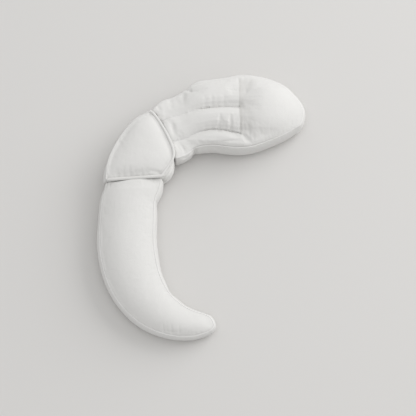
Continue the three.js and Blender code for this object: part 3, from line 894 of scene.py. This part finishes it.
class PILLOW_OT_lower_arm(bpy.types.Operator):
    """Pad the lower arm, the cushion that tapers to a round tip"""

    bl_idname = "pillow.lower_arm"
    bl_label = "Lower arm"

    def execute(self, context):
        settings = context.scene.pillow_cloth
        seam = panel_seam(LOWER_ARM_OUTER, LOWER_ARM_INNER, *LOWER_ARM_BOWS)
        piece = padded_shell("lower_arm", "lower_arm_cushion", settings, seam,
                             settings.smooth_ease)
        sew_cushion(piece, seam, LOWER_ARM_FOLDS, SEAM_DEPTH, SEAM_HALF_WIDTH,
                    settings.pucker_depth / 3, LOWER_ARM_SEED)
        joint = StraightJoint(*LOWER_JOINT)
        slot = bell(joint.share(places_of(piece)), SLOT_MIDDLE, SLOT_HALF_WIDTH)
        fit_in(piece, Keeper((joint, -1)), 1 - SLOT_EASE * slot)
        # A faint painted shade in the seams' lines, and a painted highlight on the welts beside them
        material = woven_cotton("lower_arm_cotton", settings, settings.cotton_colour,
                                seams=[("seam_offset", None, 0.06)])
        finish_piece(piece, "lower_arm", material)
        return {"FINISHED"}


class PILLOW_OT_knee(bpy.types.Operator):
    """Pad the knee, the cushion under the three-sided panel"""

    bl_idname = "pillow.knee"
    bl_label = "Knee"

    def execute(self, context):
        settings = context.scene.pillow_cloth
        seam = panel_seam(shape_knee(np.array(KNEE_OUTER)), KNEE_INNER, *KNEE_BOWS)
        piece = padded_shell("knee", "knee_cushion", settings, seam, settings.smooth_ease,
                             shape_knee)
        on_top, offset = sew_cushion(piece, seam, KNEE_FOLDS, KNEE_SEAM_DEPTH, KNEE_SEAM_HALF_WIDTH,
                                     settings.pucker_depth / 3, KNEE_SEED, KNEE_WALL_FOLDS)
        self.swell_near_lower_arm(piece, on_top)
        self.swell_beside_piping(piece, offset)
        below_seam = falling(offset, -0.0015, 0.003)
        joint = StraightJoint(*LOWER_JOINT)
        fit_in(piece, Keeper((joint, 1), (ArcJoint(*UPPER_JOINT), -1)), below_seam)
        # Painted highlight on the welts beside the seams, and painted shade beside the seam near the
        # lower arm
        material = woven_cotton("knee_cotton", settings, settings.cotton_colour,
                                seams=[("seam_offset", None, 0)], painted_shade_beside_seam="painted_shade_beside_seam")
        # Painted shade on the panel just inside its seam, strongest beside the lower arm and fading away
        # from it
        past = joint.measure(places_of(piece))[0]
        write_attribute(piece, "painted_shade_beside_seam", 0.6 * np.exp(-np.maximum(offset, 0) / 0.006)
                        * (offset > -0.001) * np.exp(-np.maximum(past, 0) / 0.012))
        finish_piece(piece, "knee", material)
        return {"FINISHED"}

    def swell_beside_piping(self, piece, offset):
        """Fills the panel up to its piping, but for the side where it rolls down to the lower arm."""
        places = places_of(piece)
        past = StraightJoint(*LOWER_JOINT).measure(places)[0]
        apart = rising(past, 0.012, 0.014)
        places[:, 2] += 0.003 * bell(offset, 0.004, 0.0055) * (places[:, 2] > 0.09) * apart
        set_places(piece, places)

    def swell_near_lower_arm(self, piece, on_top):
        """Rounds the panel down to its seam beside the lower arm, where it is stuffed fullest."""
        places = places_of(piece)
        past = np.maximum(StraightJoint(*LOWER_JOINT).measure(places)[0] - 0.005, 0)
        places[:, 2] += 0.005 * (1 - np.exp(-past / 0.009)) * np.exp(-past / 0.06) * on_top
        set_places(piece, places)


class PILLOW_OT_upper_arm(bpy.types.Operator):
    """Pad the upper arm, with its gathered sleeve, three channels and broad head"""

    bl_idname = "pillow.upper_arm"
    bl_label = "Upper arm"

    def execute(self, context):
        settings = context.scene.pillow_cloth
        edges = (UPPER_ARM_OUTER, UPPER_ARM_INNER, *UPPER_ARM_BOWS)
        rim = panel_seam(*edges)
        piece = padded_shell("upper_arm", "upper_arm_cushion", settings, rim, settings.gathered_ease)
        self.calm_sleeve(piece)
        self.fill_sleeve_end(piece)
        self.level_channels(piece)
        seam = panel_seam(*edges, whole=False)
        self.fill_roll(piece, seam)
        drawn_in = 0.0003 + 0.0009 * self.inner_side(places_of(piece))
        on_top, _ = sew_cushion(piece, seam, UPPER_ARM_FOLDS, drawn_in, SEAM_HALF_WIDTH,
                                settings.pucker_depth / 3, UPPER_ARM_SEED, SLEEVE_WALL_FOLDS)
        self.sew_channels(piece, on_top, settings)
        fit_in(piece, Keeper((ArcJoint(*UPPER_JOINT), 1)))
        # Painted shade in the seams' lines, strongest along the inner seam and the channels' stitches,
        # painted highlight on the welts, and painted shade beside the seam that ends the channels
        material = woven_cotton(
            "upper_arm_cotton", settings, settings.cotton_colour,
            seams=[("seam_offset", None, "painted_seam_shade"), ("stitch_offset", "stitch_run", "painted_stitch_shade")],
            painted_shade_beside_seam="painted_shade_beside_seam")
        finish_piece(piece, "upper_arm", material)
        return {"FINISHED"}

    def calm_sleeve(self, piece):
        """Smooths the sleeve's outer edge, whose gathers are soft."""
        x, y, z = places_of(piece).T
        relax_where(piece, (x < -0.045) & (y > 0.295) & (z > 0.075), 24)

    def fill_sleeve_end(self, piece):
        """Fills the sleeve's end up to the knee's piping."""
        places = places_of(piece)
        past, away, _ = ArcJoint(*UPPER_JOINT).measure(places)
        rim = np.flatnonzero((past < SLEEVE_FILLED) & (places[:, 2] > SLEEVE_FILL_FLOOR)
                             & (places[:, 1] > SLEEVE_FILL_START))
        short = SLEEVE_FILLED - past[rim]
        full = places[rim, :2] + away[rim] * short[:, None]
        level = heights_at(places, *full.T) - SLEEVE_FALL * short
        lift = np.clip(level - places[rim, 2], 0, SLEEVE_MOST_LIFT)
        places[rim, 2] += lift * rising(places[rim, 2], SLEEVE_FILL_FLOOR, 0.015)
        set_places(piece, places)

    def level_channels(self, piece):
        """Carries the channels level up to the seam that ends them, and the head up from there."""
        places = places_of(piece)
        y = places[:, 1]
        top = places[:, 2] > PANEL_FLOOR
        end = SeamLine(drop_onto(places, curve_through(CHANNEL_END)))
        past = np.where(top, end.measure(places)[0], -1)
        upright = rising(y, 0.238, 0.02) * falling(y, 0.432, 0.03)
        carried = past + LEVEL_LENGTH
        lean = 0.25 * np.clip((0.336 - y) / 0.091, 0, 1.1)
        level = heights_at(places, places[:, 0] - carried, y + lean * carried)
        beside = rising(carried, 0, 0.008) * (past < END_SEAM_HALF)
        rise = (level - LEVEL_FALL * carried - places[:, 2]) * beside

        low, high = END_SEAM_SPAN
        across = np.linspace(low, high, round((high - low) / SEAM_STEP) + 1)
        column = np.interp(across, *np.array(CHANNEL_END)[::-1, ::-1].T)
        brink = smoothed(heights_at(places, column - LEVEL_LENGTH, across) - 0.001)
        foot = heights_at(places, column + 0.003, across)
        lift = np.interp(y, across, brink - foot)
        ahead = np.maximum(past, 0)
        far = ahead / HEAD_SWELL_PLACE
        spread = rising(y, 0.205, 0.09)
        swell = HEAD_SWELL * spread**2 * (3 - 2 * spread)
        climb = lift * bell(ahead, 0, CLIMB_LENGTH) + swell * far * np.exp((1 - far**2) / 2)
        climb = climb + 0.0016 * bell(ahead, 0.015, 0.010) * falling(y, 0.375, 0.02)
        rise = np.where(past > END_SEAM_HALF, climb, rise)
        places[:, 2] += np.where(top & (past > -LEVEL_LENGTH), rise * upright, 0)
        set_places(piece, places)

    def fill_roll(self, piece, seam):
        """Fills out the panel beside the inner seam, where the inner channel rolls over to the wall."""
        places = places_of(piece)
        offset, _ = seam.measure(places)
        inner = self.inner_side(places)
        places[:, 2] += 0.0028 * bell(offset, 0.011, 0.009) * inner
        set_places(piece, places)

    def inner_side(self, places):
        """1 along the inner seam beside the channels, and less beside the sleeve and the head."""
        x, y = places[:, 0], places[:, 1]
        return rising(x, -0.045, 0.02) * (y < 0.30) * np.maximum(falling(x, 0.30, 0.12), 0.12)

    def sew_channels(self, piece, on_top, settings):
        """Draws the panel down along the channel seams, stores where their stitches run, and stores the
        painted shade along them, along the inner seam and beside the seam that ends them.
        """
        places, normals = places_of(piece), normals_of(piece)
        measured = []
        seams = ((CHANNEL_OUTER, CHANNEL_OUTER_SEED), (CHANNEL_INNER, CHANNEL_INNER_SEED))
        for points, seed in seams:
            channel = SeamLine(drop_onto(places, curve_through(points)))
            pucker(places, normals, channel, settings.pucker_depth / 3, *CHANNEL_PUCKERS, seed, on_top)
            measured.append(channel.measure(places))
        end = SeamLine(drop_onto(places, curve_through(CHANNEL_END)))
        ahead = np.where(on_top > 0, end.measure(places)[0], -1)
        near_end = rising(places[:, 1], 0.225, 0.03) * falling(places[:, 1], 0.447, 0.02)
        # Painted shade beside the seam that ends the channels, on the head's side
        painted_shade_amount = 0.3 * bell(ahead, 0, 0.055) + 0.2 * bell(ahead, 0, 0.010)
        painted_shade_beside_seam = rising(ahead, 0, 0.0015) * near_end * painted_shade_amount
        write_attribute(piece, "painted_shade_beside_seam", painted_shade_beside_seam)
        outer_first = abs(measured[0][0]) < abs(measured[1][0])
        offset, run = [np.where(outer_first, a, b) for a, b in zip(*measured)]
        offset = np.where(on_top > 0, offset, 1)
        drawn = 0.3 + 0.7 * rising(places[:, 0], -0.03, 0.04)
        groove(places, normals, offset, CHANNEL_DEPTH * drawn, CHANNEL_HALF_WIDTH)
        set_places(piece, places)
        write_attribute(piece, "stitch_offset", offset)
        write_attribute(piece, "stitch_run", run)
        # Painted shade along the channels' stitches, fading towards the sleeve
        write_attribute(piece, "painted_stitch_shade", 0.75 * drawn - 0.25)
        # Painted shade along the inner seam, less beside the sleeve and the head
        write_attribute(piece, "painted_seam_shade", 0.6 * self.inner_side(places))


class PILLOW_OT_piping(bpy.types.Operator):
    """Sew the piping round the knee's panel"""

    bl_idname = "pillow.piping"
    bl_label = "Piping"

    def execute(self, context):
        settings = context.scene.pillow_cloth
        piece = copy_of_node("knee_piping", "knee_piping_cord")
        subdivide_smoothly(piece)
        places = places_of(piece)
        outer_seam = SeamLine(in_plan(curve_through(KNEE_OUTER)))
        outer = np.clip(1 + outer_seam.measure(in_plan(places))[0] / 0.02, 0, 1)
        past, away, _ = ArcJoint(*UPPER_JOINT).measure(places)
        beside_arm = np.clip(1 + past / 0.04, 0, 1)
        places += normals_of(piece) * (settings.cord_stretch * (1 - 0.7 * outer))[:, None]
        places[:, :2] += away * (settings.cord_press * beside_arm)[:, None]
        places[:, 2] += settings.cord_lift * (1 - 0.9 * outer)
        set_places(piece, shape_knee(places))
        material = woven_cotton("piping_cotton", settings, settings.piping_colour, crumple=0.0002)
        finish_piece(piece, "knee_piping", material)
        return {"FINISHED"}


class PILLOW_OT_stage(bpy.types.Operator):
    """Lay the pale floor and set the camera and the soft lights"""

    bl_idname = "pillow.stage"
    bl_label = "Stage"

    def execute(self, context):
        settings = context.scene.pillow_stage
        deselect_all()
        bpy.ops.mesh.primitive_plane_add(size=settings.floor_size, location=(0, 0, 0))
        floor = context.active_object
        floor.name = "floor"
        paper = Shader("floor_paper")
        paper.feed("Base Color", (*settings.floor_colour, 1))
        paper.feed("Roughness", 0.9)
        floor.data.materials.append(paper.material)

        back = Vector((0, -math.cos(CAMERA_ELEVATION), math.sin(CAMERA_ELEVATION)))
        bpy.ops.object.camera_add(location=Vector(CAMERA_TARGET) + back * CAMERA_DISTANCE,
                                  rotation=(math.pi / 2 - CAMERA_ELEVATION, 0, 0))
        camera = context.active_object
        camera.name = "camera"
        camera.data.lens = CAMERA_LENS
        camera.data.sensor_width = CAMERA_SENSOR
        context.scene.camera = camera

        turn, lift = settings.key_turn, settings.key_lift
        towards = Vector((math.cos(turn) * math.cos(lift), math.sin(turn) * math.cos(lift),
                          math.sin(lift)))
        self.light("key", towards * settings.light_distance, settings.key_power, settings.key_size)
        self.light("top", Vector((0, 0, settings.light_distance)), settings.top_power,
                   settings.top_size)
        world = bpy.data.worlds.new("studio")
        world.use_nodes = True
        background = world.node_tree.nodes["Background"]
        background.inputs["Color"].default_value = (1, 1, 1, 1)
        background.inputs["Strength"].default_value = settings.sky
        context.scene.world = world
        context.scene.view_settings.view_transform = "Standard"
        return {"FINISHED"}

    def light(self, name, place, power, size):
        bpy.ops.object.light_add(type="AREA", location=place,
                                 rotation=place.to_track_quat("Z", "Y").to_euler())
        made = bpy.context.active_object
        made.name = name
        made.data.energy = power
        made.data.size = size


OPERATORS = (PILLOW_OT_lower_arm, PILLOW_OT_knee, PILLOW_OT_piping, PILLOW_OT_upper_arm,
             PILLOW_OT_stage)


class PILLOW_PT_sidebar(bpy.types.Panel):
    """Lists the pieces of the pillow"""

    bl_idname = "PILLOW_PT_sidebar"
    bl_label = "Crescent pillow"
    bl_space_type = "VIEW_3D"
    bl_region_type = "UI"
    bl_category = "Pillow"

    def draw(self, context):
        for operator in OPERATORS:
            self.layout.operator(operator.bl_idname)
        for group in (context.scene.pillow_cloth, context.scene.pillow_stage):
            for name in group.bl_rna.properties.keys():
                if name not in ("rna_type", "name"):
                    self.layout.prop(group, name)


CLASSES = (PillowClothSettings, PillowStageSettings, *OPERATORS, PILLOW_PT_sidebar)


def register():
    for one in CLASSES:
        bpy.utils.register_class(one)
    bpy.types.Scene.pillow_cloth = bpy.props.PointerProperty(type=PillowClothSettings)
    bpy.types.Scene.pillow_stage = bpy.props.PointerProperty(type=PillowStageSettings)


def unregister():
    del bpy.types.Scene.pillow_stage
    del bpy.types.Scene.pillow_cloth
    for one in reversed(CLASSES):
        bpy.utils.unregister_class(one)


def main():
    register()
    bpy.ops.pillow.lower_arm()
    bpy.ops.pillow.knee()
    bpy.ops.pillow.piping()
    bpy.ops.pillow.upper_arm()
    bpy.ops.pillow.stage()


if __name__ == "__main__":
    main()
